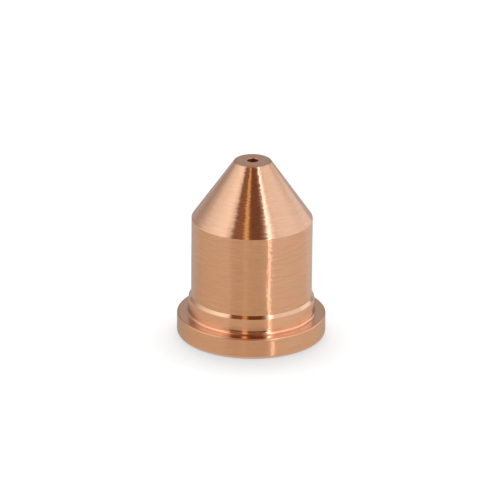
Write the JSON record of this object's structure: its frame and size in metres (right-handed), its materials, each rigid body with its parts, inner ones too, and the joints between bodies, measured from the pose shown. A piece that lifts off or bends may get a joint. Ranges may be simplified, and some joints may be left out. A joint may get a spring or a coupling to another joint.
{
  "type": "plasma torch nozzle",
  "caption": "Turned copper plasma nozzle: a flange and pilot collar under a straight body, a conical nose with a flat tip, and a stepped chamber that narrows to a fine orifice.",
  "frame": {"origin": "centre of the rear face, which the nozzle stands on", "axes": "+Z along the nozzle's axis, from the rear face to the tip; X and Y are alike, because it is turned"},
  "size_m": [0.0186, 0.0186, 0.023],
  "materials": {
    "copper": "bare copper, finely turned: satin on the straight faces, brighter on the cone"
  },
  "bodies": {
    "root": {"nozzle": "copper"}
  },
  "joints": []
}
